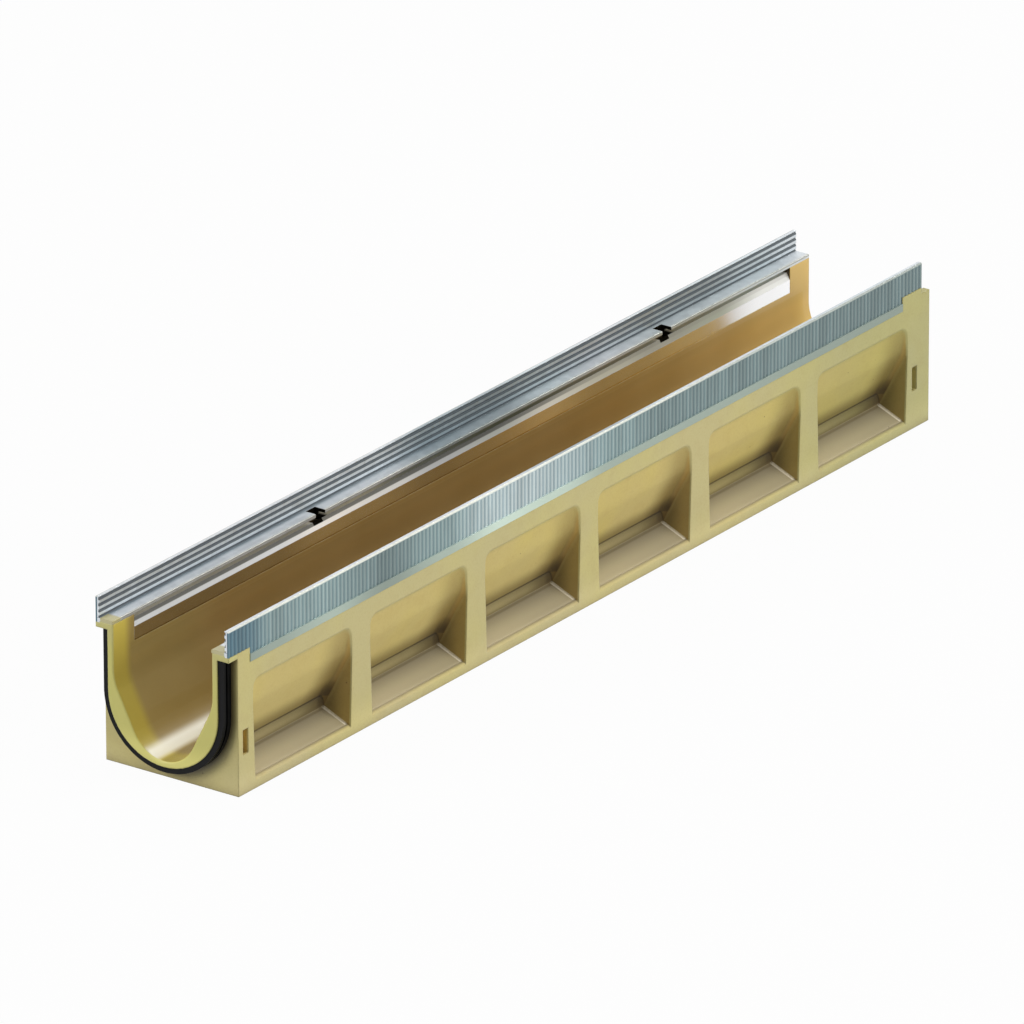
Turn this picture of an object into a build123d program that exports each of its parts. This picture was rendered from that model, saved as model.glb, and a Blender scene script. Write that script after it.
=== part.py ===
from build123d import *
from math import cos, radians, sin, tan
import os

# Channel drain: a polymer concrete trough with two galvanised edge rails and a rubber joint seal.
# X runs across the channel, Y along it from the collar end to the socket end, and Z is up.
# The origin is the middle of the underside. Lengths are millimetres.

# Overall sizes
LAYING_LENGTH = 1000.0
JOINT_DEPTH = 12.0
CHANNEL_WIDTH = 100.0
SIDE_WIDTH = 17.5
RAIL_TOP = 150.0

# Hollow of the trough: upright walls, a sloping flank each side and a round invert
INVERT_LEVEL = 19.5
INVERT_SHARE = 0.66
FLANK_TILT = radians(26.5)
SHOULDER_RADIUS = 38.0

# Joint between two channels: collar and seal at one end, socket at the other
COLLAR_UNDERSIDE = 14.3
COLLAR_WALL = 5.7
COLLAR_EDGE = 1.0
SEAL_THICKNESS = 5.0
SEAL_LIP = 1.2
SEAL_GROOVE = 2.4
SOCKET_CLEARANCE = 0.5
BEARING_LEVEL = 122.4
BEARING_CLEARANCE = 0.9

# Pockets in the long sides
POCKET_COUNT = 6
POCKET_PITCH = 162.0
POCKET_WIDTH = 131.8
POCKET_SIDE_TILT = radians(2.3)
POCKET_DRAFT = 3.0
POCKET_TOP = 100.0
POCKET_CORNER = 11.0
FLANK_WALL = 12.8
POCKET_TOP_DEPTH = 1.5
POCKET_UPPER_TILT = radians(9.5)
POCKET_KNEE_RADIUS = 25.0
POCKET_DEPTH = 31.0
BASE_AT_KEEL = 12.5
BASE_AT_EDGE = 9.5
BASE_EDGE_RADIUS = 4.0
BASE_EDGE_RUNOUT = 0.3
POCKET_BACK_FILLET = 7.0
POCKET_RELIEF = 12.0

# Clip slots in the end columns
CLIP_SPACING = 968.0
CLIP_WIDTH = 7.3
CLIP_HEIGHT = 22.0
CLIP_LEVEL = 46.0
CLIP_DEPTH = 6.0

# Edge rail section
WEB_THICKNESS = 4.0
WEB_EDGE = 0.9
SEAT_DEPTH = 19.0
LEDGE_THICKNESS = 3.2
NOSE_RADIUS = 0.8
SLOT_HEIGHT = 5.3
SLOT_DEPTH = 11.5
SHEET = 2.5
SKIRT_HEIGHT = 18.1
BEVEL_WIDTH = 3.5
BEVEL_HEIGHT = 6.0
FOOT_LEVEL = 114.3
FOOT_HEIGHT = 7.0
FOOT_PROUD = 0.6

# Edge rail ends and punched lock notches
SHOE_LENGTH = 29.0
SHOE_WEB_LEVEL = 126.8
LOCK_FIRST = 286.5
LOCK_SPACING = 500.0
LOCK_COUNT = 2
LOCK_WIDTH = 13.0
LOCK_DEPTH = 11.0
LOCK_POCKET_DEPTH = 12.0

# Rolled grooves inside the web and upright ribs outside it
GROOVE_COUNT = 4
GROOVE_PITCH = 5.43
GROOVE_WIDTH = 2.6
GROOVE_DEPTH = 0.9
TOP_GROOVE_DROP = 1.75
RIB_PITCH = 5.2
RIB_DEPTH = 0.7
RIB_CREST = 0.05

# How far a cutter runs past what it cuts, and how near an edge lies to where it is looked for
OVERRUN = 1.0
NEARNESS = 0.1

# Places that follow from the sizes
HALF_CHANNEL = CHANNEL_WIDTH / 2
HALF_BODY = HALF_CHANNEL + SIDE_WIDTH
INVERT_RADIUS = HALF_CHANNEL * INVERT_SHARE
KEEL_HALF = HALF_BODY - POCKET_DEPTH
COLLAR_RADIUS = HALF_CHANNEL + COLLAR_WALL
JOINT_AXIS_LEVEL = COLLAR_UNDERSIDE + COLLAR_RADIUS
COLLAR_END = -(LAYING_LENGTH + JOINT_DEPTH) / 2
END_FACE = COLLAR_END + JOINT_DEPTH
SOCKET_FLOOR = COLLAR_END + LAYING_LENGTH
SOCKET_END = SOCKET_FLOOR + JOINT_DEPTH
SEAT_LEVEL = RAIL_TOP - SEAT_DEPTH
LEDGE_UNDERSIDE = SEAT_LEVEL - LEDGE_THICKNESS
SLOT_FLOOR = LEDGE_UNDERSIDE - SLOT_HEIGHT
SKIRT_FOOT = SLOT_FLOOR - SKIRT_HEIGHT
SLOT_BACK = HALF_CHANNEL + SLOT_DEPTH
WEB_INSIDE = HALF_BODY - WEB_THICKNESS
SOCKET_RADIUS = COLLAR_RADIUS + SEAL_THICKNESS + SOCKET_CLEARANCE
LIP_LEVEL = BEARING_LEVEL - BEARING_CLEARANCE
LOCKS = [COLLAR_END + LOCK_FIRST + LOCK_SPACING * i for i in range(LOCK_COUNT)]
POCKETS = [POCKET_PITCH * (i - (POCKET_COUNT - 1) / 2) for i in range(POCKET_COUNT)]


def run(section, start, end):
    """Carries a section drawn in X and Z along Y from start to end."""
    return extrude(Plane.XZ.offset(-start) * section, amount=end - start, dir=(0, 1, 0))


def block(x, y, z):
    """A plain box between the two values given for each direction."""
    middle = Pos(sum(x) / 2, sum(y) / 2, sum(z) / 2)
    return middle * Box(x[1] - x[0], y[1] - y[0], z[1] - z[0])


def flank_foot():
    """Where the sloping flank leaves the invert arc."""
    axis_level = INVERT_LEVEL + INVERT_RADIUS
    return INVERT_RADIUS * cos(FLANK_TILT), axis_level - INVERT_RADIUS * sin(FLANK_TILT)


def channel_section(top):
    """The hollow of the trough up to a level above it."""
    foot_x, foot_z = flank_foot()
    shoulder_z = foot_z + (HALF_CHANNEL - foot_x) / tan(FLANK_TILT)
    corners = [(foot_x, foot_z), (HALF_CHANNEL, shoulder_z), (HALF_CHANNEL, top)]
    wall = FilletPolyline(*corners, radius=SHOULDER_RADIUS)
    invert = ThreePointArc((-foot_x, foot_z), (0, INVERT_LEVEL), (foot_x, foot_z))
    lid = Line((-HALF_CHANNEL, top), (HALF_CHANNEL, top))
    return make_face(wall + mirror(wall, Plane.YZ) + invert + lid)


def joint_section(radius, top):
    """The U that the collar, the seal and the socket share, at its own radius."""
    side = Line((radius, JOINT_AXIS_LEVEL), (radius, top))
    bottom = (0, JOINT_AXIS_LEVEL - radius)
    bend = ThreePointArc((-radius, JOINT_AXIS_LEVEL), bottom, (radius, JOINT_AXIS_LEVEL))
    lid = Line((-radius, top), (radius, top))
    return make_face(side + mirror(side, Plane.YZ) + bend + lid)


def pocket_section():
    """Depth of a side pocket: a wall parallel to the flank, an upright keel and a sloping floor."""
    foot_x, foot_z = flank_foot()
    back_x = foot_x + FLANK_WALL / cos(FLANK_TILT)
    top_x = HALF_BODY - POCKET_TOP_DEPTH
    gain = (POCKET_TOP - foot_z) * tan(FLANK_TILT) + back_x - top_x
    knee_drop = gain / (tan(FLANK_TILT) - tan(POCKET_UPPER_TILT))
    knee = (top_x - knee_drop * tan(POCKET_UPPER_TILT), POCKET_TOP - knee_drop)
    keel_top = (KEEL_HALF, foot_z + (KEEL_HALF - back_x) / tan(FLANK_TILT))
    back = FilletPolyline((top_x, POCKET_TOP), knee, keel_top, radius=POCKET_KNEE_RADIUS)
    edge_x = HALF_BODY + BASE_EDGE_RUNOUT
    front = [(KEEL_HALF, BASE_AT_KEEL), (edge_x, BASE_AT_EDGE), (edge_x, 0)]
    base = FilletPolyline(*front, radius=BASE_EDGE_RADIUS)
    outside = HALF_BODY + POCKET_RELIEF
    rest = Polyline((edge_x, 0), (outside, 0), (outside, POCKET_TOP), (top_x, POCKET_TOP))
    return make_face(back + Line(keel_top, front[0]) + base + rest)


def pocket_window():
    """Outline of a side pocket seen from the side, widest outside and drafted towards the keel."""
    draft_gain = POCKET_RELIEF * tan(radians(POCKET_DRAFT))
    spread = tan(POCKET_SIDE_TILT)
    low = BASE_AT_EDGE - POCKET_CORNER
    half_low = POCKET_WIDTH / 2 + draft_gain - POCKET_CORNER * spread
    half_top = half_low + (POCKET_TOP - low) * spread
    corners = [(-half_low, low), (half_low, low), (half_top, POCKET_TOP), (-half_top, POCKET_TOP)]
    outline = make_face(Polyline(*corners, close=True))
    outline = fillet(outline.vertices().group_by(Axis.Y)[-1], POCKET_CORNER)
    mouth = Plane.YZ.offset(HALF_BODY + POCKET_RELIEF) * outline
    return extrude(mouth, amount=-(POCKET_DEPTH + POCKET_RELIEF + OVERRUN), taper=POCKET_DRAFT)


def pocket_cutter():
    """One side pocket at Y zero on the +X side, with wide rounds all along its back."""
    core = pocket_window() & run(pocket_section(), -POCKET_WIDTH, POCKET_WIDTH)
    behind = core.edges().filter_by(lambda e: e.center().X < HALF_BODY)
    above = behind.filter_by(lambda e: e.center().Z > BASE_AT_KEEL + OVERRUN)
    roof = above.sort_by(Axis.Z)[-1]
    return fillet(above.filter_by(GeomType.LINE, reverse=True) + [roof], POCKET_BACK_FILLET)


def rail_section():
    """Rolled section of the +X rail between its ends: web, ledge, lock slot, bevel and skirt."""
    foot_face = HALF_BODY + FOOT_PROUD
    foot_top = FOOT_LEVEL + FOOT_HEIGHT
    outside = [
        (WEB_INSIDE, FOOT_LEVEL),
        (foot_face, FOOT_LEVEL),
        (foot_face, foot_top),
        (HALF_BODY, foot_top),
        (HALF_BODY, RAIL_TOP - WEB_EDGE),
        (HALF_BODY - WEB_EDGE, RAIL_TOP),
    ]
    inside = [(WEB_INSIDE, RAIL_TOP)]
    for i in range(GROOVE_COUNT):
        level = RAIL_TOP - TOP_GROOVE_DROP - GROOVE_PITCH * i
        low = max(level - GROOVE_WIDTH / 2, SEAT_LEVEL)
        inside.append((WEB_INSIDE, level + GROOVE_WIDTH / 2))
        inside.append((WEB_INSIDE + GROOVE_DEPTH, level))
        inside.append((WEB_INSIDE, low))
    bevel_top = HALF_CHANNEL + BEVEL_WIDTH
    bevel_foot = SLOT_FLOOR - BEVEL_HEIGHT
    lock = [
        (HALF_CHANNEL, SEAT_LEVEL),
        (HALF_CHANNEL, LEDGE_UNDERSIDE),
        (SLOT_BACK, LEDGE_UNDERSIDE),
        (SLOT_BACK, SLOT_FLOOR),
        (bevel_top, SLOT_FLOOR),
        (HALF_CHANNEL, bevel_foot),
        (HALF_CHANNEL, SKIRT_FOOT),
        (HALF_CHANNEL + SHEET, SKIRT_FOOT),
        (HALF_CHANNEL + SHEET, bevel_foot - SHEET / 2),
        (bevel_top + SHEET / 2, SLOT_FLOOR - SHEET),
        (WEB_INSIDE, SLOT_FLOOR - SHEET),
    ]
    section = make_face(Polyline(*outside, *inside, *lock, close=True))
    nose = section.vertices().sort_by_distance((HALF_CHANNEL, SEAT_LEVEL))[0]
    return fillet(nose, NOSE_RADIUS)


def shoe_section():
    """What is punched off the section at a rail's ends, so that only web and ledge lie on the casting."""
    inner = HALF_CHANNEL - SHEET
    outer = HALF_BODY + FOOT_PROUD + SHEET
    low = SKIRT_FOOT - SHEET
    corners = [
        (inner, low),
        (outer, low),
        (outer, SHOE_WEB_LEVEL),
        (WEB_INSIDE, SHOE_WEB_LEVEL),
        (WEB_INSIDE, LEDGE_UNDERSIDE),
        (inner, LEDGE_UNDERSIDE),
    ]
    return make_face(Polyline(*corners, close=True))


def rib_grooves():
    """What is pressed out of the +X web's outer face to leave a row of upright V ribs."""
    outside = HALF_BODY + FOOT_PROUD
    crest = HALF_BODY - RIB_CREST
    valley = crest - RIB_DEPTH
    count = int(LAYING_LENGTH / RIB_PITCH)
    first = COLLAR_END + (LAYING_LENGTH - count * RIB_PITCH) / 2
    points = [(outside, COLLAR_END), (crest, COLLAR_END), (crest, first)]
    for i in range(count):
        points.append((valley, first + (i + 0.5) * RIB_PITCH))
        points.append((crest, first + (i + 1) * RIB_PITCH))
    points.append((crest, SOCKET_FLOOR))
    points.append((outside, SOCKET_FLOOR))
    foot_top = FOOT_LEVEL + FOOT_HEIGHT
    plan = Pos(0, 0, foot_top) * make_face(Polyline(*points, close=True))
    return extrude(plan, amount=RAIL_TOP - 2 * WEB_EDGE - foot_top)


def lock_cuts():
    """Notches through the ledge and the slot floor, with the pocket below that a lock bar reaches."""
    reach = HALF_CHANNEL + LOCK_DEPTH
    behind_bevel = HALF_CHANNEL + BEVEL_WIDTH + SHEET / 2
    cuts = []
    for y in LOCKS:
        along = (y - LOCK_WIDTH / 2, y + LOCK_WIDTH / 2)
        cuts.append(block((HALF_CHANNEL - SHEET, reach), along, (SLOT_FLOOR, RAIL_TOP)))
        cuts.append(block((behind_bevel, reach), along, (SLOT_FLOOR - LOCK_POCKET_DEPTH, RAIL_TOP)))
    return cuts


def rail_blank():
    """The rolled +X rail with its ends punched back, before its notches and ribs."""
    rail = run(rail_section(), COLLAR_END, SOCKET_FLOOR)
    rail -= run(shoe_section(), COLLAR_END, COLLAR_END + SHOE_LENGTH)
    return rail - run(shoe_section(), SOCKET_FLOOR - SHOE_LENGTH, SOCKET_FLOOR)


def edge_rail():
    """The +X edge rail, one length of rolled and punched galvanised steel."""
    return rail_blank() - lock_cuts() - rib_grooves()


def rail_seat():
    """All that the +X rail takes up in the casting, with its lock slot open to the channel."""
    start = COLLAR_END + SHOE_LENGTH
    end = SOCKET_FLOOR - SHOE_LENGTH
    seat = rail_blank()
    seat += block((HALF_CHANNEL - SHEET, SLOT_BACK), (start, end), (SLOT_FLOOR, LEDGE_UNDERSIDE))
    behind_bevel = HALF_CHANNEL + BEVEL_WIDTH
    corner = [
        (HALF_CHANNEL - SHEET, SLOT_FLOOR),
        (behind_bevel, SLOT_FLOOR),
        (HALF_CHANNEL, SLOT_FLOOR - BEVEL_HEIGHT),
        (HALF_CHANNEL - SHEET, SLOT_FLOOR - BEVEL_HEIGHT),
    ]
    seat += run(make_face(Polyline(*corner, close=True)), start, end)
    return seat + lock_cuts()


def channel_body():
    """The polymer concrete casting: trough, collar, socket, side pockets and clip slots."""
    body = block((-HALF_BODY, HALF_BODY), (END_FACE, SOCKET_FLOOR), (0, LEDGE_UNDERSIDE))
    body += block((-HALF_BODY, HALF_BODY), (SOCKET_FLOOR, SOCKET_END), (0, LIP_LEVEL))
    body -= run(joint_section(SOCKET_RADIUS, RAIL_TOP), SOCKET_FLOOR, SOCKET_END)
    body += run(joint_section(COLLAR_RADIUS, BEARING_LEVEL), COLLAR_END, END_FACE)
    body += block((-HALF_BODY, HALF_BODY), (COLLAR_END, END_FACE), (BEARING_LEVEL, LEDGE_UNDERSIDE))
    body -= run(channel_section(RAIL_TOP), COLLAR_END, SOCKET_END)
    mouth = body.edges().filter_by(lambda e: abs(e.center().Y - COLLAR_END) < COLLAR_EDGE / 2)
    mouth = mouth.filter_by(lambda e: abs(e.center().X) < HALF_CHANNEL + NEARNESS)
    mouth = mouth.filter_by(lambda e: e.center().Z > INVERT_LEVEL - NEARNESS)
    body = chamfer(mouth, COLLAR_EDGE)
    pocket = pocket_cutter()
    cuts = [Pos(0, y, 0) * pocket for y in POCKETS]
    for end in (-1, 1):
        along = (end * CLIP_SPACING / 2 - CLIP_WIDTH / 2, end * CLIP_SPACING / 2 + CLIP_WIDTH / 2)
        height = (CLIP_LEVEL - CLIP_HEIGHT / 2, CLIP_LEVEL + CLIP_HEIGHT / 2)
        cuts.append(block((HALF_BODY - CLIP_DEPTH, HALF_BODY), along, height))
    cuts.append(rail_seat())
    body -= cuts
    body -= [mirror(cut, Plane.YZ) for cut in cuts]
    return body


def end_seal():
    """The rubber seal round the collar: two lips with a shallow groove between them."""
    outer = COLLAR_RADIUS + SEAL_THICKNESS
    middle = (COLLAR_END + END_FACE) / 2
    groove = (middle - SEAL_GROOVE / 2, middle + SEAL_GROOVE / 2)
    seal = run(joint_section(outer, BEARING_LEVEL), COLLAR_END + COLLAR_EDGE, END_FACE)
    ring = joint_section(outer + OVERRUN, RAIL_TOP) - joint_section(outer - SEAL_LIP, RAIL_TOP)
    seal -= run(ring, *groove)
    return seal - run(joint_section(COLLAR_RADIUS, RAIL_TOP), COLLAR_END, END_FACE)


os.makedirs("parts", exist_ok=True)
right_rail = edge_rail()
pieces = {
    "channel_body": channel_body(),
    "right_edge_rail": right_rail,
    "left_edge_rail": mirror(right_rail, Plane.YZ),
    "end_seal": end_seal(),
}
for name, piece in pieces.items():
    piece.label = name
    export_step(piece, os.path.join("parts", name + ".step"))
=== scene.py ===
import math

import bpy
from mathutils import Matrix, Vector


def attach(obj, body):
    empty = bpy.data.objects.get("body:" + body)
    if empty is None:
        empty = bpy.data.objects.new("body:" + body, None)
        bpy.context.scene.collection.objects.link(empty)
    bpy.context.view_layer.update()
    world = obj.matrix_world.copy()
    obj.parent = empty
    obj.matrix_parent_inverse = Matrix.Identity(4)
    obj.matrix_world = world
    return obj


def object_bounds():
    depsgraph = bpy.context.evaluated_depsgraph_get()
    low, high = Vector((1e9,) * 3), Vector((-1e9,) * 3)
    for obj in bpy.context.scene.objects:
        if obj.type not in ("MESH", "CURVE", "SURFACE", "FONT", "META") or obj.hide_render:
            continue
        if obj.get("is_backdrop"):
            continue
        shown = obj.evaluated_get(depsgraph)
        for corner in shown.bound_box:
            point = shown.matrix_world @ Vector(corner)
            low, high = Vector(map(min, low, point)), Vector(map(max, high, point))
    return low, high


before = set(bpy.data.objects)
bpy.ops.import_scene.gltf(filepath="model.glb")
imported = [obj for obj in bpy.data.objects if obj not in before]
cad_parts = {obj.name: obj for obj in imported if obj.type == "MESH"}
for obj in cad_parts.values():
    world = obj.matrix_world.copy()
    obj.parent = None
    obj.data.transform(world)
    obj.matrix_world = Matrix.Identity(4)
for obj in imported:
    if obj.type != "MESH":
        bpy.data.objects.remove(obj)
cad_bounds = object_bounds()

# Metres, in the same frame as the CAD model. DRAFT, LEAN, SPREAD and SLOPE are slopes.
COLLAR_END = -0.506
END_FACE = -0.494
HALF_BODY = 0.0675
KEEL_HALF = 0.0365
POCKET_DRAFT = 0.0524
HALF_CHANNEL = 0.05
JOINT_AXIS_LEVEL = 0.07
SEAL_RADIUS = 0.0607
FLANK_FOOT = 0.0378
FLANK_LEAN = 0.4986
FLANK_DEPTH = (0.0362, 0.0352)
RAIL_TOP = 0.15
SEAT_LEVEL = 0.131
LEDGE_UNDERSIDE = 0.1278
SLOT_FLOOR = 0.1225
BEVEL_FOOT = 0.1165
SLOT_BACK = 0.0615
WEB_INSIDE = 0.0635
FOOT_TOP = 0.1213
GROOVE_PITCH = 0.00543
TOP_GROOVE = 0.14825
NOSE_DEPTH = 0.0036
BEVEL_BACK = 0.0538
RIB_FOOT = 0.0668
RIB_CREST = 0.06745
SLOT_ENDS = (-0.477, 0.465)
LOCKS = (-0.2195, 0.2805)
LOCK_HALF = 0.0067
LOCK_POCKET_FLOOR = 0.108
CLIP_SLOT_REACH = (0.4798, 0.4882)
CLIP_SLOT_LEVELS = (0.034, 0.058)
POCKET_PITCH = 0.162
POCKET_COUNT = 6
POCKET_TOP = 0.0995
POCKET_ROW = 0.485
CREASE_ROW = 0.475
POCKET_HALF = 0.06546
POCKET_FOOT = -0.0015
POCKET_SPREAD = 0.0402

# The skin in the side pockets: its upright face, the knee above it, the floor before it,
# the levels of its hidden back, and how deep it lies in the casting.
SKIN_FACE = 0.0405
SKIN_KNEE = 0.0311
SKIN_FLOOR = 0.0205
SKIN_EDGE = (0.0638, 0.00986)
SKIN_BACK = (0.0115, 0.0222)
SKIN_SUNK = 0.0004
FLOOR_SLOPE = (SKIN_FLOOR - SKIN_EDGE[1]) / (SKIN_EDGE[0] - SKIN_FACE)

# How far the materials soften the edges of the casting and of the rails.
CASTING_ROUND = 0.0022
RAIL_ROUND = 0.0004

# The studio: what the eye sees of the floor and the world, and what light the world gives.
FLOOR_GLOW = 0.965
WORLD_LIGHT = 0.35
FLOOR_HALF = 40.0
FLOOR_LEVEL = -0.0002
LAMPS = (
    ("side_lamp", (4.6, 0.6, 1.75), 2.2, 150),
    ("end_lamp", (-2.4, -4.2, 2.2), 2.0, 130),
    ("top_lamp", (0.2, 0.6, 4.8), 5.0, 72),
    ("far_lamp", (0.0, 3.3, 3.1), 0.9, 45),
)
LAMP_AIM = (0, 0, 0.08)

# The camera as fitted to the photograph: degrees, millimetres of lens and metres.
CAMERA_TURN = (-35.6285, 22.4663, -0.1232)
CAMERA_PLACE = (7.0426, -9.84344, 5.07383)
CAMERA_LENS = 548.6
CAMERA_SENSOR = 36
CAMERA_CLIP = 200


class Shader:
    """A material made of nodes, with short ways to add and join them."""

    def __init__(self, name):
        self.material = bpy.data.materials.new(name)
        self.material.use_nodes = True
        self.tree = self.material.node_tree
        self.tree.nodes.clear()
        self.output = self.add("ShaderNodeOutputMaterial")
        coordinates = self.add("ShaderNodeTexCoord")
        self.place = coordinates.outputs["Object"]
        axes = self.add("ShaderNodeSeparateXYZ", Vector=self.place)
        self.x, self.y, self.z = axes.outputs
        self.across = self.math("ABSOLUTE", self.x)
        facing = self.add("ShaderNodeSeparateXYZ", Vector=coordinates.outputs["Normal"])
        self.facing_end = self.math("ABSOLUTE", facing.outputs[1])
        self.facing_up = facing.outputs[2]
        self.facing_near = self.math("MULTIPLY", facing.outputs[1], -1.0)

    def add(self, kind, settings=None, **inputs):
        node = self.tree.nodes.new(kind)
        for key, value in (settings or {}).items():
            setattr(node, key, value)
        for key, value in inputs.items():
            self.feed(node.inputs[key.replace("_", " ")], value)
        return node

    def feed(self, socket, value):
        if isinstance(value, bpy.types.NodeSocket):
            self.tree.links.new(value, socket)
        else:
            socket.default_value = value

    def math(self, operation, a, b=0.0):
        node = self.add("ShaderNodeMath", {"operation": operation})
        self.feed(node.inputs[0], a)
        self.feed(node.inputs[1], b)
        return node.outputs[0]

    def every(self, *masks):
        """One where all the masks are one."""
        both = masks[0]
        for mask in masks[1:]:
            both = self.math("MULTIPLY", both, mask)
        return both

    def either(self, *masks):
        """One where any of the masks is one."""
        most = masks[0]
        for mask in masks[1:]:
            most = self.math("MAXIMUM", most, mask)
        return most

    def ramp(self, value, start, end, low=0.0, high=1.0):
        """Goes smoothly from low to high while value goes from start to end."""
        node = self.add("ShaderNodeMapRange", {"interpolation_type": "SMOOTHSTEP"})
        for socket, fed in zip(node.inputs, (value, start, end, low, high)):
            self.feed(socket, fed)
        return node.outputs[0]

    def within(self, value, low, high, soft=0.0002):
        """One between low and high, and zero outside."""
        above = self.ramp(value, low - soft, low + soft)
        below = self.ramp(value, high + soft, high - soft)
        return self.math("MULTIPLY", above, below)

    def off(self, mask):
        return self.math("SUBTRACT", 1.0, mask)

    def tint(self, colour, factor, share=1.0):
        """The colour times the factor, where share is one."""
        return self.mix(share, colour, factor, "MULTIPLY")

    def along(self, *stops):
        """A tint that changes along the channel: pairs of distance from the collar and tint."""
        distance = self.math("SUBTRACT", self.y, COLLAR_END)
        node = self.add("ShaderNodeValToRGB", Fac=distance)
        ramp = node.color_ramp
        ramp.interpolation = "EASE"
        for place, tone in stops[1:-1]:
            ramp.elements.new(place)
        for element, (place, tone) in zip(ramp.elements, stops):
            element.position = place
            element.color = (*tone, 1.0) if isinstance(tone, tuple) else (tone, tone, tone, 1.0)
        return node.outputs[0]

    def mix(self, share, a, b, blend="MIX"):
        node = self.add("ShaderNodeMix", {"data_type": "RGBA", "blend_type": blend})
        self.feed(node.inputs["Factor"], share)
        self.feed(node.inputs[6], a)
        self.feed(node.inputs[7], b)
        return node.outputs[2]

    def blend(self, share, a, b):
        node = self.add("ShaderNodeMix", {"data_type": "FLOAT"})
        self.feed(node.inputs["Factor"], share)
        self.feed(node.inputs[2], a)
        self.feed(node.inputs[3], b)
        return node.outputs[0]

    def stretch(self, scale):
        return self.add("ShaderNodeMapping", Vector=self.place, Scale=scale).outputs[0]

    def noise(self, scale, detail=2.0, rough=0.5, vector=None):
        node = self.add(
            "ShaderNodeTexNoise",
            Vector=vector or self.place,
            Scale=scale,
            Detail=detail,
            Roughness=rough,
        )
        return node.outputs["Fac"]

    def cells(self, scale):
        return self.add("ShaderNodeTexVoronoi", Vector=self.place, Scale=scale)

    def by_locks(self, before, after, soft=0.0002):
        """One from before the middle of each lock notch to after it, along the channel."""
        return self.either(*[self.within(self.y, y - before, y + after, soft) for y in LOCKS])

    def notches(self):
        """One inside the pockets that the lock notches leave in a rail and the casting."""
        return self.every(
            self.by_locks(LOCK_HALF, LOCK_HALF),
            self.within(self.across, HALF_CHANNEL + NOSE_DEPTH, SLOT_BACK + 0.001),
            self.within(self.z, LOCK_POCKET_FLOOR, SEAT_LEVEL - 0.0003),
        )

    def finish(self, surface):
        self.feed(self.output.inputs["Surface"], surface)
        return self.material


def rgb(red, green, blue):
    """A colour as it reads on screen, from 0 to 255, as linear values."""
    linear = []
    for value in (red, green, blue):
        v = value / 255
        linear.append(v / 12.92 if v <= 0.04045 else ((v + 0.055) / 1.055) ** 2.4)
    return (*linear, 1.0)


def grey(tone):
    return (tone, tone, tone, 1.0)


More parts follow.
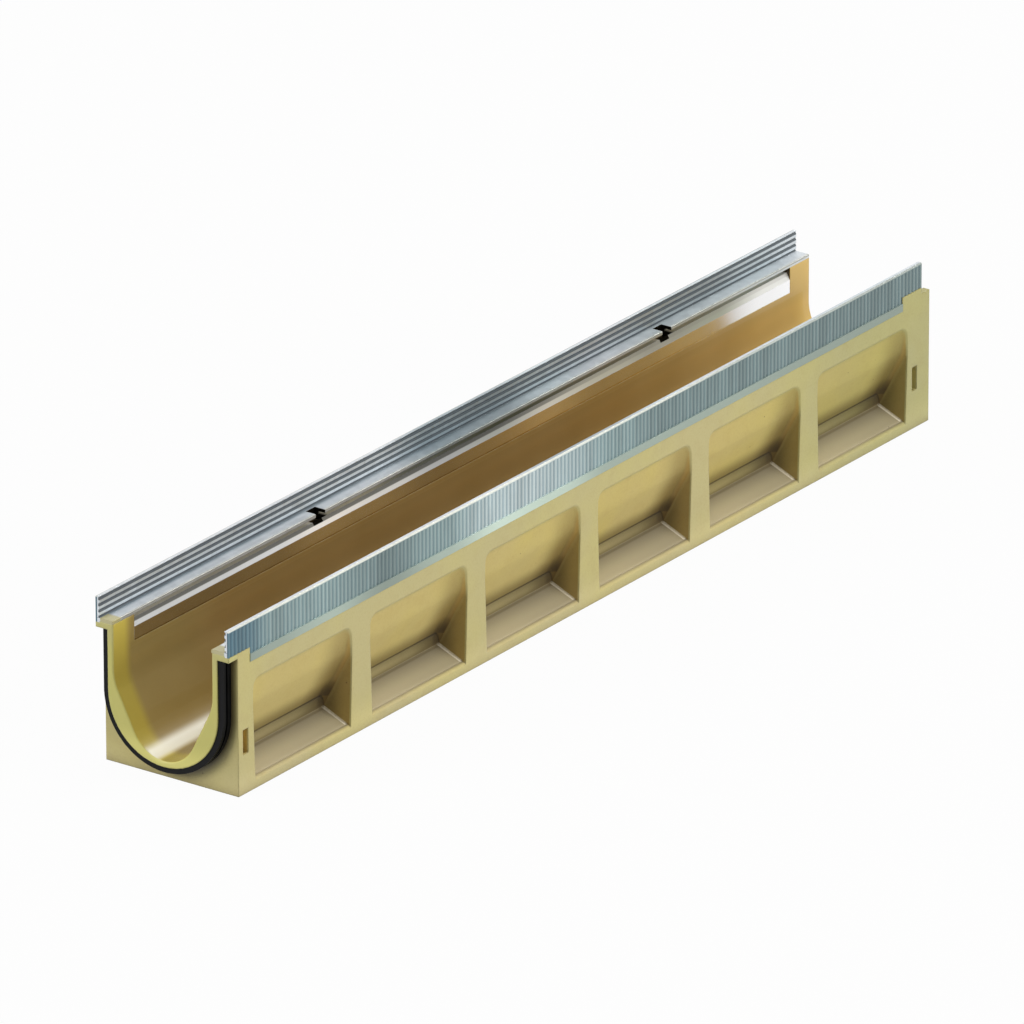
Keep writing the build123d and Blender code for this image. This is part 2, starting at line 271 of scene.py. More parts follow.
def pocket_shading(s, colour):
    """Tones of the side pockets: painted shade in the corners, a paler floor, and a painted
    highlight.
    """
    turn = s.math("FRACT", s.math("DIVIDE", s.y, POCKET_PITCH))
    draft = s.math("MULTIPLY", s.math("SUBTRACT", s.across, HALF_BODY), POCKET_DRAFT)
    side = s.math("SUBTRACT", s.math("MULTIPLY", turn, POCKET_PITCH), draft)
    drop = s.math("MULTIPLY", s.math("SUBTRACT", s.across, SKIN_FACE), FLOOR_SLOPE)
    above = s.math("ADD", s.math("SUBTRACT", s.z, SKIN_FLOOR), drop)
    rightward = s.ramp(turn, 0.25, 0.85)
    recess = s.every(
        s.ramp(s.across, HALF_BODY - 0.0008, HALF_BODY - 0.003),
        s.ramp(s.across, KEEL_HALF - 0.002, KEEL_HALF - 0.001),
        s.ramp(s.facing_end, 0.98, 0.9),
        s.within(s.z, 0.009, POCKET_TOP),
        s.within(s.y, -POCKET_ROW, POCKET_ROW),
    )
    back = s.every(recess, s.ramp(above, 0.0003, 0.0008))
    wall = s.every(back, s.ramp(s.z, SKIN_KNEE - 0.001, SKIN_KNEE + 0.0005))
    colour = s.tint(colour, (1.12, 1.03, 0.86, 1.0), back)
    # Painted shade: the back wall darker towards its foot.
    colour = s.tint(colour, (0.44, 0.41, 0.34, 1.0), s.every(wall, s.ramp(s.z, 0.052, 0.033)))
    # Painted shade on the back wall beside the rib, strongest low down.
    by_rib = s.every(
        back,
        s.ramp(side, 0.106, 0.1425),
        s.ramp(s.z, 0.095, 0.05, 0.5, 1.0),
        s.ramp(s.facing_near, 0.5, 0.9, 1.0, 0.35),
    )
    colour = s.tint(colour, (0.44, 0.39, 0.29, 1.0), by_rib)
    # Painted shade on the keel: darker towards the rib, at the knee and near the floor.
    keel = s.every(back, s.ramp(s.across, SKIN_FACE + 0.0012, SKIN_FACE + 0.0004))
    upright = s.mix(rightward, (0.56, 0.57, 0.68, 1.0), (0.36, 0.36, 0.38, 1.0))
    colour = s.tint(colour, upright, keel)
    knee = s.every(keel, s.ramp(s.z, SKIN_KNEE - 0.0055, SKIN_KNEE))
    colour = s.tint(colour, (0.74, 0.72, 0.66, 1.0), knee)
    colour = s.tint(colour, (0.8, 0.78, 0.72, 1.0), s.every(keel, s.ramp(above, 0.005, 0.0005)))
    # Painted shade in the low inner corner beside the rib.
    nook = s.every(
        back,
        s.ramp(side, 0.1355, 0.1415),
        s.ramp(s.z, 0.05, 0.034),
        s.ramp(s.across, 0.055, 0.046),
    )
    colour = s.tint(colour, (0.6, 0.56, 0.46, 1.0), nook)
    # Painted shade on the rib faces, darkest low down and deep in the pocket.
    rib = s.every(
        s.within(s.across, KEEL_HALF - 0.001, HALF_BODY - 0.0015),
        s.within(s.z, 0.0095, 0.098),
        s.ramp(s.facing_near, 0.35, 0.85),
        s.within(s.y, -POCKET_ROW, POCKET_ROW),
    )
    low = s.mix(s.ramp(s.across, 0.046, 0.063), (0.56, 0.48, 0.39, 1.0), (0.82, 0.68, 0.53, 1.0))
    rising = s.mix(s.ramp(s.z, 0.035, 0.085), low, (0.94, 0.79, 0.6, 1.0))
    colour = s.tint(colour, rising, rib)
    # The floor painted paler; painted shade makes it darker towards the rib and deeper in the
    # pocket.
    floor = s.every(recess, s.ramp(above, 0.0007, 0.0001))
    pale = s.mix(s.ramp(turn, 0.2, 0.85), rgb(206, 194, 158), rgb(188, 177, 146))
    colour = s.mix(s.math("MULTIPLY", floor, 0.8), colour, pale)
    out = s.ramp(s.across, SKIN_FACE, 0.058)
    outward = s.mix(out, (0.5, 0.49, 0.5, 1.0), (0.8, 0.78, 0.78, 1.0))
    colour = s.tint(colour, outward, floor)
    # Painted shade on the rounded lip at the floor's outer edge.
    lip = s.every(
        s.ramp(s.facing_up, 0.15, 0.5),
        s.ramp(s.across, SKIN_EDGE[0] - 0.0002, SKIN_EDGE[0] + 0.0012),
        s.ramp(s.z, 0.0105, 0.0098),
    )
    turning = s.ramp(s.across, 0.0648, 0.0672)
    rounding = s.mix(turning, (0.82, 0.8, 0.82, 1.0), (0.96, 0.93, 0.93, 1.0))
    colour = s.tint(colour, rounding, lip)
    # Painted shade: a dark line along the crease where the keel meets the floor.
    crease_shade = s.every(
        s.within(s.across, SKIN_FACE - 0.0006, SKIN_FACE + 0.0026, 0.0009),
        s.within(above, -0.0014, 0.002, 0.0012),
        s.within(s.y, -CREASE_ROW, CREASE_ROW),
    )
    colour = s.mix(s.math("MULTIPLY", crease_shade, 0.5), colour, rgb(98, 84, 50))
    # Painted highlight: a bright line along each floor's corner with the rib.
    corner = s.every(
        s.within(side, 0.1442, 0.1482, 0.0005),
        s.within(s.across, SKIN_FACE + 0.0005, HALF_BODY - 0.0042, 0.0012),
        s.ramp(above, 0.0014, 0.0006),
        s.within(s.y, -CREASE_ROW, POCKET_ROW),
    )
    return s.mix(s.math("MULTIPLY", corner, 0.85), colour, rgb(246, 238, 214))


def hollow_shading(s, colour, broad):
    """Tones of the trough's inside: brown walls with painted shade, paler to the far end with
    painted light, and a yellow mouth.
    """
    flank = s.math("MULTIPLY", s.math("SUBTRACT", s.z, FLANK_FOOT), FLANK_LEAN)
    hollow = s.ramp(s.math("SUBTRACT", s.across, flank), *FLANK_DEPTH)
    inner = s.every(hollow, s.ramp(s.across, 0.0507, 0.0503), s.ramp(s.z, 0.0165, 0.018))
    # Painted shade: the inner walls brown; painted light makes them paler and bluer towards the
    # far end;
    brown = s.mix(s.ramp(broad, 0.3, 0.7), rgb(172, 142, 84), rgb(163, 133, 73))
    paler = s.along(
        (0.0, (0.44, 0.5, 0.56)),
        (0.08, (0.43, 0.48, 0.52)),
        (0.16, 0.41),
        (0.36, 0.4),
        (0.54, 0.42),
        (0.62, 0.44),
        (0.7, 0.5),
        (0.78, (0.53, 0.55, 0.57)),
        (0.86, (0.6, 0.64, 0.68)),
        (0.94, (0.78, 0.86, 0.96)),
        (1.0, (0.88, 0.96, 1.0)),
    )
    brown = s.tint(brown, s.tint(paler, grey(2.4)))
    # painted shade darkens them near the top, under the rails.
    brown = s.tint(brown, grey(0.86), s.ramp(s.z, 0.088, 0.1))
    mouth = s.ramp(s.y, COLLAR_END + 0.014, COLLAR_END + 0.026)
    inside = s.mix(mouth, rgb(203, 184, 84), brown)
    # A painted shadow and a painted highlight along the bottom of the trough, strongest at the
    # near end.
    low = s.every(s.ramp(s.z, 0.034, 0.026), s.ramp(s.y, -0.12, -0.38))
    shade = s.every(low, s.within(s.x, -0.0025, 0.02, 0.003))
    inside = s.tint(inside, (0.62, 0.6, 0.5, 1.0), shade)
    invert_highlight = s.every(low, s.within(s.x, -0.0185, -0.0055, 0.0038))
    inside = s.mix(s.math("MULTIPLY", invert_highlight, 0.92), inside, rgb(252, 249, 230))
    colour = s.mix(inner, colour, inside)
    collar = s.ramp(s.y, END_FACE - 0.0002, END_FACE - 0.0006)
    rim = s.ramp(s.y, COLLAR_END + 0.0012, COLLAR_END + 0.0004)
    front = s.math("MULTIPLY", collar, s.off(s.math("MULTIPLY", inner, s.off(rim))))
    yellow = s.mix(s.ramp(s.z, 0.045, 0.02), rgb(190, 184, 104), rgb(214, 207, 120))
    yellow = s.mix(s.ramp(s.z, 0.1, 0.122), yellow, rgb(186, 179, 113))
    return s.mix(front, colour, yellow)


def seal_shadow(s, colour):
    """The soft dark line on the end face, where the seal stands against it."""
    down = s.math("MINIMUM", s.math("SUBTRACT", s.z, JOINT_AXIS_LEVEL), 0.0)
    squares = s.math("ADD", s.math("MULTIPLY", s.x, s.x), s.math("MULTIPLY", down, down))
    radius = s.math("SQRT", squares)
    ring = s.every(
        s.ramp(radius, SEAL_RADIUS + 0.008, SEAL_RADIUS - 0.0005),
        s.ramp(radius, 0.0565, 0.0575),
        s.ramp(s.across, HALF_BODY - 0.0002, HALF_BODY - 0.001),
        s.within(s.y, END_FACE - 0.0003, END_FACE + 0.0003),
    )
    return s.mix(s.math("MULTIPLY", ring, 0.85), colour, rgb(30, 27, 14))


def concrete_material():
    s = Shader("polymer_concrete")
    broad = s.noise(9.0, 3.0, 0.55)
    middle = s.noise(70.0, 3.0, 0.6)
    fine = s.noise(520.0, 4.0, 0.65)
    colour = s.mix(s.ramp(broad, 0.35, 0.65), rgb(188, 177, 112), rgb(183, 172, 118))
    colour = s.mix(s.ramp(middle, 0.45, 0.8, 0.0, 0.22), colour, rgb(168, 148, 90))
    colour = s.mix(s.ramp(fine, 0.45, 0.75, 0.0, 0.25), colour, rgb(160, 142, 92))
    grains = s.cells(700.0)
    speck = s.every(s.ramp(grains.outputs["Distance"], 0.14, 0.04), s.ramp(middle, 0.52, 0.6))
    colour = s.mix(s.math("MULTIPLY", speck, 0.4), colour, rgb(112, 92, 54))
    holes = s.cells(95.0)
    rare = s.add("ShaderNodeSeparateColor", Color=holes.outputs["Color"]).outputs[0]
    pores = s.every(s.ramp(holes.outputs["Distance"], 0.075, 0.045), s.ramp(rare, 0.925, 0.935))
    colour = s.tint(colour, (1.17, 1.17, 1.28, 1.0), s.ramp(s.z, 0.03, 0.004))
    # Painted shade: the casting darker and less warm towards the far end.
    colour = s.tint(colour, (0.82, 0.87, 0.85, 1.0), s.ramp(s.y, 0.18, 0.44))
    colour = pocket_shading(s, colour)
    recess = s.every(
        s.within(s.across, KEEL_HALF - 0.002, HALF_BODY - 0.0012, 0.001),
        s.within(s.z, 0.0085, POCKET_TOP),
        s.within(s.y, -POCKET_ROW, POCKET_ROW),
    )
    colour = hollow_shading(s, colour, broad)
    # Painted shadow: black inside the lock notch pockets and at the ends of the lock slots.
    ends = s.either(*[s.within(s.y, y - 0.0006, y + 0.0006) for y in SLOT_ENDS])
    slot_end = s.every(ends, s.within(s.across, 0.0501, 0.063), s.within(s.z, 0.1158, 0.1279))
    colour = s.mix(s.either(s.notches(), slot_end), colour, rgb(22, 17, 8))
    # Painted light: the clip slots lighter inside, and kept free of the crevice shade below.
    clip = s.every(
        s.within(s.math("ABSOLUTE", s.y), *CLIP_SLOT_REACH),
        s.within(s.across, 0.06, HALF_BODY - 0.0004),
        s.within(s.z, *CLIP_SLOT_LEVELS),
    )
    colour = s.tint(colour, (1.25, 1.2, 1.15, 1.0), clip)
    colour = seal_shadow(s, colour)
    colour = s.mix(s.math("MULTIPLY", pores, 0.7), colour, rgb(84, 68, 38))
    # Painted shade in creases, corners and recesses, from ambient occlusion.
    settings = {"samples": 6, "only_local": False}
    crevice = s.add("ShaderNodeAmbientOcclusion", settings, Distance=0.02)
    crevice_shade = s.math("MULTIPLY", s.ramp(crevice.outputs["AO"], 0.8, 0.2, 0.0, 0.6), s.off(clip))
    colour = s.mix(crevice_shade, colour, rgb(92, 74, 38))

    dents = s.math("MULTIPLY", s.either(s.math("MULTIPLY", speck, 0.4), pores), -1.5)
    height = s.math("ADD", s.math("MULTIPLY", fine, 0.5), dents)
    soft = s.add("ShaderNodeBevel", {"samples": 6}, Radius=CASTING_ROUND).outputs[0]
    bump = s.add("ShaderNodeBump", Height=height, Strength=0.2, Distance=0.0003, Normal=soft)
    body = s.add(
        "ShaderNodeBsdfPrincipled",
        Base_Color=colour,
        Roughness=s.blend(recess, s.ramp(fine, 0.3, 0.7, 0.34, 0.46), 0.75),
        Normal=bump.outputs[0],
    )
    return s.finish(body.outputs[0])


def web_outside(s):
    """The rail's outer face: ribs with painted shade in their valleys and broad painted
    reflections along them, and the foot strip.
    """
    # Painted shade: the rib valleys darker than the crests.
    crest = s.ramp(s.across, RIB_FOOT, RIB_CREST)
    ribs = s.mix(crest, rgb(112, 134, 138), rgb(150, 169, 167))
    # Painted reflections along the ribs, dark and bluish at the near end.
    glint = s.along(
        (0.0, (0.17, 0.24, 0.3)),
        (0.028, (0.22, 0.28, 0.33)),
        (0.06, 0.46),
        (0.14, 0.54),
        (0.22, 0.34),
        (0.3, 0.46),
        (0.37, (0.87, 0.77, 0.78)),
        (0.42, (0.86, 0.75, 0.76)),
        (0.48, (0.68, 0.62, 0.63)),
        (0.54, 0.5),
        (0.61, 0.375),
        (0.7, 0.36),
        (1.0, 0.34),
    )
    streaks = s.noise(85.0, 2.0, 0.6, s.stretch((0.1, 1.0, 0.05)))
    ribs = s.tint(ribs, s.tint(glint, grey(2.05)))
    ribs = s.tint(ribs, s.mix(s.ramp(streaks, 0.35, 0.65), grey(0.86), grey(1.12)))
    # Painted reflections and shade along the foot strip.
    strip = s.along(
        (0.0, 0.4),
        (0.06, 0.5),
        (0.14, 0.66),
        (0.22, 0.415),
        (0.3, 0.63),
        (0.38, 0.99),
        (0.46, 0.87),
        (0.54, 0.57),
        (0.7, 0.54),
        (0.86, 0.46),
        (1.0, 0.43),
    )
    foot = s.tint(rgb(194, 211, 197), s.tint(strip, grey(1.08)))
    outer = s.mix(s.ramp(s.z, FOOT_TOP - 0.0002, FOOT_TOP + 0.0002), foot, ribs)
    # A painted highlight along the top edge, weaker towards the far end.
    edge = s.ramp(s.z, RAIL_TOP - 0.0014, RAIL_TOP - 0.0009)
    bright = s.along((0.0, 0.75), (0.3, 0.85), (0.6, 0.75), (0.75, 0.45), (1.0, 0.35))
    return s.mix(s.math("MULTIPLY", edge, bright), outer, rgb(226, 226, 214))


def web_inside(s, zinc):
    """The web's inner face: four rolled lines painted dark as shade, with painted reflections on
    the bright bands between them.
    """
    # Painted reflections along the bands, changing along the rail.
    tone = s.along(
        (0.0, 0.9),
        (0.2, 0.84),
        (0.3, 1.0),
        (0.38, 0.95),
        (0.46, 0.9),
        (0.54, 0.68),
        (0.62, 0.68),
        (0.7, 0.7),
        (0.78, 0.57),
        (0.86, 0.48),
        (0.94, 0.74),
        (1.0, 0.85),
    )
    band = s.tint(zinc, s.tint(tone, (1.1, 1.13, 1.14, 1.0)))
    # Painted shade in the four rolled lines.
    turn = s.math("DIVIDE", s.math("SUBTRACT", TOP_GROOVE, s.z), GROOVE_PITCH)
    phase = s.math("SUBTRACT", s.math("FRACT", s.math("ADD", turn, 0.5)), 0.5)
    line = s.within(phase, -0.13, 0.34, 0.07)
    dark = s.along(
        (0.0, (0.035, 0.045, 0.055)),
        (0.35, (0.04, 0.055, 0.065)),
        (1.0, (0.06, 0.075, 0.085)),
    )
    return s.mix(s.math("MULTIPLY", line, 0.92), band, dark)


def ledge_top(s, zinc):
    """The ledge: painted shade at the foot of the web, and painted light, warmer and paler, at
    the nose.
    """
    # Painted shade at the foot of the web, strong at the near end and fading along the rail.
    shade = s.along(
        (0.0, 0.98),
        (0.2, 0.92),
        (0.38, 0.72),
        (0.5, 0.45),
        (0.62, 0.28),
        (0.7, 0.12),
        (1.0, 0.12),
    )
    foot = s.math("MULTIPLY", s.ramp(s.across, 0.0572, 0.0632), shade)
    zinc = s.mix(foot, zinc, s.tint(zinc, (0.34, 0.4, 0.44, 1.0)))
    return s.tint(zinc, (1.06, 1.04, 1.0, 1.0), s.ramp(s.across, 0.0545, 0.0515))


def lock_face(s, zinc):
    """The nose of the ledge and the bevel below the lock slot, with painted reflections and
    painted shade.
    """
    near = s.along((0.0, 1.0), (0.5, 1.0), (0.6, 0.8), (0.7, 0.4), (0.85, 0.3), (1.0, 0.25))
    # Painted reflections on the bevel, changing along the rail.
    tone = s.along(
        (0.0, 0.72),
        (0.14, 0.72),
        (0.22, 0.8),
        (0.3, (1.0, 0.93, 0.86)),
        (0.38, (0.8, 0.77, 0.73)),
        (0.46, 0.5),
        (0.54, (0.45, 0.46, 0.42)),
        (0.62, (0.7, 0.66, 0.56)),
        (0.7, (0.54, 0.51, 0.4)),
        (0.78, (0.38, 0.36, 0.29)),
        (0.86, (0.42, 0.43, 0.34)),
        (0.94, (1.0, 1.0, 0.97)),
        (1.0, 1.0),
    )
    bevel = s.tint(rgb(214, 215, 214), s.tint(tone, grey(1.25)))
    # Painted shade along the bevel's upper edge below the slot, fading towards the far end.
    upper = s.math("MULTIPLY", s.ramp(s.z, BEVEL_FOOT + 0.003, BEVEL_FOOT + 0.0038), near)
    bevel_shade = s.along(
        (0.0, 0.08),
        (0.26, 0.08),
        (0.35, 0.1),
        (0.44, 0.065),
        (0.55, 0.05),
        (0.7, 0.14),
        (1.0, 0.3),
    )
    bevel = s.mix(s.math("MULTIPLY", upper, 0.92), bevel, s.tint(bevel_shade, (1.0, 0.97, 0.78, 1.0)))
    in_bevel = s.every(
        s.within(s.z, BEVEL_FOOT - 0.0001, SLOT_FLOOR + 0.0003),
        s.ramp(s.across, 0.0537, 0.0534),
    )
    zinc = s.mix(in_bevel, zinc, bevel)
    nose = s.every(
        s.within(s.z, LEDGE_UNDERSIDE - 0.0003, SEAT_LEVEL - 0.0006, 0.0004),
        s.ramp(s.across, 0.0506, 0.0502),
    )
    # Painted reflection and shade on the nose's face: tan, darker in the middle of the rail,
    # white at the far end.
    tan = s.along(
        (0.0, (0.6, 0.59, 0.55)),
        (0.34, (0.54, 0.52, 0.47)),
        (0.43, (0.27, 0.27, 0.25)),
        (0.54, (0.34, 0.33, 0.26)),
        (0.69, (0.5, 0.46, 0.36)),
        (0.83, (0.5, 0.48, 0.38)),
        (0.91, (0.9, 0.92, 0.88)),
        (1.0, (1.0, 1.0, 1.0)),
    )
    lower = s.ramp(s.z, SEAT_LEVEL - 0.001, LEDGE_UNDERSIDE)
    zinc = s.mix(s.math("MULTIPLY", nose, lower), zinc, s.tint(zinc, tan))
    # Painted shade on the nose's rounded edge.
    round_edge = s.every(
        s.within(s.z, SEAT_LEVEL - 0.0014, SEAT_LEVEL + 0.0001),
        s.ramp(s.across, 0.0514, 0.0509),
    )
    return s.tint(zinc, (0.64, 0.62, 0.56, 1.0), round_edge)


def notch_shadow(s):
    """The black inside of the lock notches, and of the slot behind and just past them."""
    front = s.every(
        s.by_locks(0.0064, 0.0064),
        s.within(s.z, BEVEL_FOOT + 0.0034, LEDGE_UNDERSIDE + 0.0006),
        s.ramp(s.across, 0.0622, 0.0618),
    )
    cut = s.every(
        s.by_locks(LOCK_HALF, LOCK_HALF),
        s.within(s.z, LEDGE_UNDERSIDE - 0.0005, SEAT_LEVEL - 0.0003),
        s.ramp(s.across, 0.0618, 0.0612),
    )
    deep = s.every(
        s.by_locks(0.007, 0.0145, 0.003),
        s.within(s.across, BEVEL_BACK, 0.0623),
        s.within(s.z, SLOT_FLOOR - 0.0004, LEDGE_UNDERSIDE + 0.0004),
    )
    return s.either(front, cut, deep, s.notches())


def skirt_reflection(s):
    """Painted reflections on the skirt below the bevel: grey, with bright stretches along it."""
    return s.along(
        (0.0, 0.6),
        (0.14, 0.56),
        (0.22, 0.68),
        (0.29, 0.98),
        (0.36, 0.9),
        (0.45, 0.64),
        (0.52, 0.78),
        (0.61, 1.0),
        (0.7, 0.7),
        (0.78, 0.64),
        (0.86, 0.62),
        (0.93, 0.9),
        (1.0, 1.0),
    )


def steel_material():
    s = Shader("galvanised_steel")
    drawn = s.noise(160.0, 3.0, 0.6, s.stretch((1.0, 0.03, 1.0)))
    spangle = s.add("ShaderNodeSeparateColor", Color=s.cells(150.0).outputs["Color"]).outputs[0]
    tone = s.math("ADD", s.math("MULTIPLY", drawn, 0.7), s.math("MULTIPLY", spangle, 0.3))
    zinc = s.mix(tone, rgb(194, 199, 203), rgb(224, 229, 233))
    # Painted light and shade along the rails: dimmer and bluer around the middle of their
    # length.
    lengthwise_light = s.along(
        (0.0, 1.0),
        (0.2, 0.95),
        (0.3, 0.93),
        (0.38, 0.98),
        (0.46, (0.5, 0.56, 0.58)),
        (0.54, (0.54, 0.59, 0.6)),
        (0.62, (0.88, 0.93, 0.93)),
        (0.7, 0.96),
        (0.8, (0.84, 0.88, 0.87)),
        (0.94, (0.92, 0.96, 0.96)),
        (1.0, 1.0),
    )
    zinc = s.tint(zinc, lengthwise_light)

    on_ledge = s.ramp(s.z, SEAT_LEVEL - 0.0004, SEAT_LEVEL - 0.0001)
    on_ledge = s.every(on_ledge, s.ramp(s.z, SEAT_LEVEL + 0.0004, SEAT_LEVEL + 0.0001))
    colour = s.mix(on_ledge, zinc, ledge_top(s, zinc))
    on_web = s.every(
        s.within(s.across, WEB_INSIDE - 0.0002, WEB_INSIDE + 0.0012),
        s.within(s.z, SEAT_LEVEL, RAIL_TOP - 0.0002),
    )
    colour = s.mix(on_web, colour, web_inside(s, zinc))
    colour = lock_face(s, colour)
    # Painted shade inside the lock slot, darkest around the middle of the rail and lighter at
    # its ends.
    slot = s.every(
        s.within(s.across, BEVEL_BACK, SLOT_BACK + 0.0003),
        s.within(s.z, SLOT_FLOOR - 0.0002, LEDGE_UNDERSIDE + 0.0002),
    )
    slot_shade = s.along(
        (0.0, (0.66, 0.63, 0.55)),
        (0.26, (0.6, 0.57, 0.48)),
        (0.34, (0.68, 0.64, 0.52)),
        (0.43, (0.34, 0.34, 0.28)),
        (0.545, (0.22, 0.22, 0.15)),
        (0.69, (0.38, 0.34, 0.24)),
        (0.83, (0.48, 0.45, 0.34)),
        (0.92, (0.55, 0.58, 0.53)),
        (1.0, (0.6, 0.62, 0.6)),
    )
    colour = s.mix(slot, colour, slot_shade)
    colour = s.mix(s.ramp(s.across, 0.0657, 0.0662), colour, web_outside(s))
    hole = notch_shadow(s)
    # Painted shadow: black inside the lock notches and in the slot by them.
    colour = s.mix(hole, colour, rgb(16, 14, 9))

    skirt = s.every(
        s.ramp(s.z, BEVEL_FOOT + 0.0003, BEVEL_FOOT - 0.0002),
        s.ramp(s.across, 0.0508, 0.0504),
    )
    # Painted reflections on the skirt.
    colour = s.mix(skirt, colour, s.tint(grey(1.0), skirt_reflection(s)))
    # Painted shade on the skirt's lower edge, fading out towards the far end.
    skirt_foot_shade = s.along(
        (0.0, (0.6, 0.5, 0.27)),
        (0.55, (0.66, 0.54, 0.3)),
        (0.75, (0.95, 0.78, 0.45)),
        (0.9, (1.0, 1.0, 0.9)),
        (1.0, 1.0),
    )
    colour = s.tint(colour, skirt_foot_shade, s.every(skirt, s.ramp(s.z, 0.1058, 0.1051)))
    rough = s.blend(skirt, s.ramp(tone, 0.2, 0.8, 0.32, 0.46), 0.2)
    rough = s.blend(hole, rough, 1.0)
    # The casting's paint on the ledges' near ends.
    film = s.every(
        s.ramp(s.y, COLLAR_END + 0.0125, COLLAR_END + 0.009),
        s.ramp(s.across, 0.0632, 0.0626),
        s.within(s.z, LEDGE_UNDERSIDE - 0.0004, SEAT_LEVEL + 0.0008),
    )
    colour = s.mix(s.math("MULTIPLY", film, 0.85), colour, rgb(178, 168, 112))
    metal = s.math("MULTIPLY", s.blend(skirt, 0.45, 1.0), s.off(s.either(slot, hole, film)))
    soft = s.add("ShaderNodeBevel", {"samples": 4}, Radius=RAIL_ROUND).outputs[0]
    bump = s.add("ShaderNodeBump", Height=drawn, Strength=0.06, Distance=0.0002, Normal=soft)
    body = s.add(
        "ShaderNodeBsdfPrincipled",
        Base_Color=colour,
        Metallic=metal,
        Roughness=rough,
        Normal=bump.outputs[0],
        Specular_IOR_Level=s.math("MULTIPLY", s.off(hole), 0.5),
    )
    return s.finish(body.outputs[0])


def rubber_material():
    s = Shader("seal_rubber")
    fine = s.noise(260.0, 3.0)
    colour = s.mix(s.ramp(fine, 0.35, 0.7), rgb(2, 2, 3), rgb(7, 8, 10))
    bump = s.add("ShaderNodeBump", Height=fine, Strength=0.12, Distance=0.0003)
    body = s.add(
        "ShaderNodeBsdfPrincipled",
        Base_Color=colour,
        Roughness=s.ramp(fine, 0.3, 0.7, 0.36, 0.5),
        Normal=bump.outputs[0],
    )
    body.inputs["Specular IOR Level"].default_value = 0.15
    return s.finish(body.outputs[0])


def seen_by_eye(tree):
    """One for a ray from the camera, a reflection or a refraction, and zero for other light."""
    path = tree.nodes.new("ShaderNodeLightPath")
    share = path.outputs["Is Camera Ray"]
    for kind in ("Is Glossy Ray", "Is Transmission Ray"):
        most = tree.nodes.new("ShaderNodeMath")
        most.operation = "MAXIMUM"
        tree.links.new(share, most.inputs[0])
        tree.links.new(path.outputs[kind], most.inputs[1])
        share = most.outputs[0]
    return share


def floor_material():
    s = Shader("studio_floor")
    paint = s.add("ShaderNodeBsdfDiffuse", Color=rgb(190, 190, 188))
    glow = s.add("ShaderNodeEmission", Color=(1, 1, 1, 1), Strength=1.0)
    both = s.add("ShaderNodeMixShader")
    s.feed(both.inputs[0], s.math("MULTIPLY", seen_by_eye(s.tree), FLOOR_GLOW))
    s.feed(both.inputs[1], paint.outputs[0])
    s.feed(both.inputs[2], glow.outputs[0])
    return s.finish(both.outputs[0])


def dress(name, material):
    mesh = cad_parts[name].data
    mesh.materials.clear()
    mesh.materials.append(material)


def pocket_half(across, level):
    """Half the length of a side pocket at that distance from the middle and that level."""
    rise = (level - POCKET_FOOT) * POCKET_SPREAD
    return POCKET_HALF + (across - HALF_BODY) * POCKET_DRAFT + rise


def pocket_skins(material):
    """The steeper floor and thicker keel that the photograph shows in each side pocket."""
    section = [
        (KEEL_HALF - SKIN_SUNK, SKIN_BACK[0]),
        (KEEL_HALF - SKIN_SUNK, SKIN_BACK[1]),
        (SKIN_FACE - SKIN_SUNK, SKIN_KNEE),
        (SKIN_FACE, SKIN_KNEE),
        (SKIN_FACE, SKIN_FLOOR),
        SKIN_EDGE,
        (SKIN_EDGE[0], SKIN_EDGE[1] - SKIN_SUNK),
    ]
    count = len(section)
    vertices, faces = [], []
    for side in (1, -1):
        for step in range(POCKET_COUNT):
            middle = POCKET_PITCH * (step - (POCKET_COUNT - 1) / 2)
            first = len(vertices)
            for end in (-1, 1):
                for across, level in section:
                    half = pocket_half(across, level) + SKIN_SUNK
                    vertices.append((side * across, middle + end * half, level))
            near = [first + i for i in range(count)]
            far = [i + count for i in near]
            loops = [near[::-1], far]
            for i in range(count):
                after = (i + 1) % count
                loops.append([near[i], near[after], far[after], far[i]])
            faces += [loop if side > 0 else loop[::-1] for loop in loops]
    mesh = bpy.data.meshes.new("pocket_skins")
    mesh.from_pydata(vertices, [], faces)
    mesh.materials.append(material)
    piece = bpy.data.objects.new("pocket_skins", mesh)
    bpy.context.scene.collection.objects.link(piece)
    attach(piece, "root")


def lamp(name, place, size, power):
    data = bpy.data.lights.new(name, "AREA")
    data.size = size
    data.energy = power
    obj = bpy.data.objects.new(name, data)
    obj.location = place
    aim = Vector(LAMP_AIM) - Vector(place)
    obj.rotation_euler = aim.to_track_quat("-Z", "Y").to_euler()
    obj.visible_camera = False
    bpy.context.scene.collection.objects.link(obj)


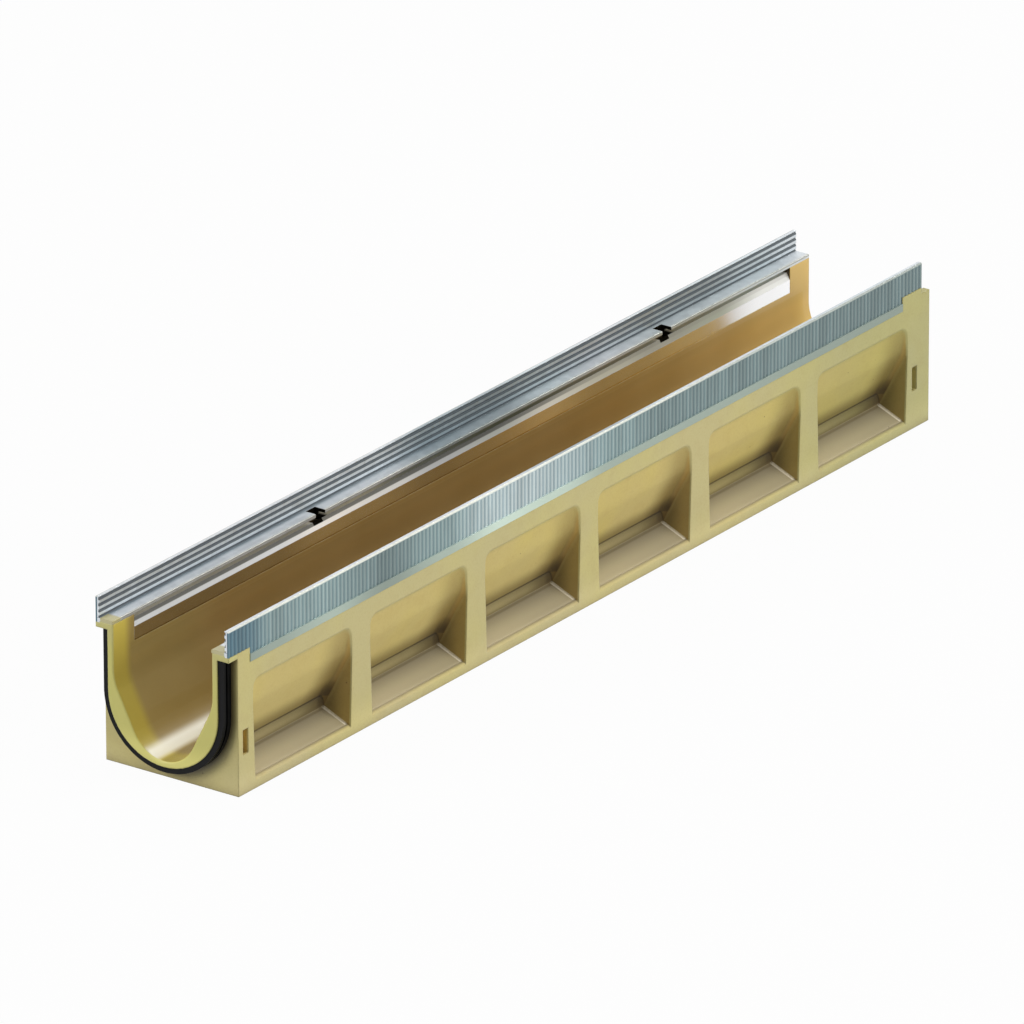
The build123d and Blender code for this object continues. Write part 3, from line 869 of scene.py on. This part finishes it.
def studio():
    half = FLOOR_HALF
    mesh = bpy.data.meshes.new("studio_floor")
    corners = [(-half, -half, 0), (half, -half, 0), (half, half, 0), (-half, half, 0)]
    mesh.from_pydata(corners, [], [(0, 1, 2, 3)])
    mesh.materials.append(floor_material())
    floor = bpy.data.objects.new("studio_floor", mesh)
    floor.location.z = FLOOR_LEVEL
    bpy.context.scene.collection.objects.link(floor)
    floor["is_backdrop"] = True

    world = bpy.data.worlds.new("studio_world")
    bpy.context.scene.world = world
    world.use_nodes = True
    tree = world.node_tree
    tree.nodes.clear()
    level = tree.nodes.new("ShaderNodeMapRange")
    level.inputs["To Min"].default_value = WORLD_LIGHT
    level.inputs["To Max"].default_value = 1.0
    tree.links.new(seen_by_eye(tree), level.inputs["Value"])
    back = tree.nodes.new("ShaderNodeBackground")
    back.inputs["Color"].default_value = (1, 1, 1, 1)
    tree.links.new(level.outputs[0], back.inputs["Strength"])
    out = tree.nodes.new("ShaderNodeOutputWorld")
    tree.links.new(back.outputs[0], out.inputs["Surface"])

    for name, place, size, power in LAMPS:
        lamp(name, place, size, power)


def camera():
    yaw, pitch, roll = (math.radians(angle) for angle in CAMERA_TURN)
    level = math.cos(pitch)
    ahead = Vector((math.sin(yaw) * level, math.cos(yaw) * level, -math.sin(pitch)))
    level_right = Vector((math.cos(yaw), -math.sin(yaw), 0))
    level_up = level_right.cross(ahead)
    right = math.cos(roll) * level_right + math.sin(roll) * level_up
    up = math.cos(roll) * level_up - math.sin(roll) * level_right
    data = bpy.data.cameras.new("camera")
    data.sensor_width = CAMERA_SENSOR
    data.lens = CAMERA_LENS
    data.clip_end = CAMERA_CLIP
    obj = bpy.data.objects.new("camera", data)
    turn = Matrix((right, up, -ahead)).transposed()
    obj.matrix_world = Matrix.Translation(CAMERA_PLACE) @ turn.to_4x4()
    bpy.context.scene.collection.objects.link(obj)
    bpy.context.scene.camera = obj


camera()
studio()
steel = steel_material()
concrete = concrete_material()
dress("channel_body", concrete)
pocket_skins(concrete)
dress("right_edge_rail", steel)
dress("left_edge_rail", steel)
dress("end_seal", rubber_material())

bpy.context.scene.view_settings.view_transform = "Standard"
boxes = {"cad": cad_bounds, "visual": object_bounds()}
boxes = {name: [list(corner) for corner in box] for name, box in boxes.items()}
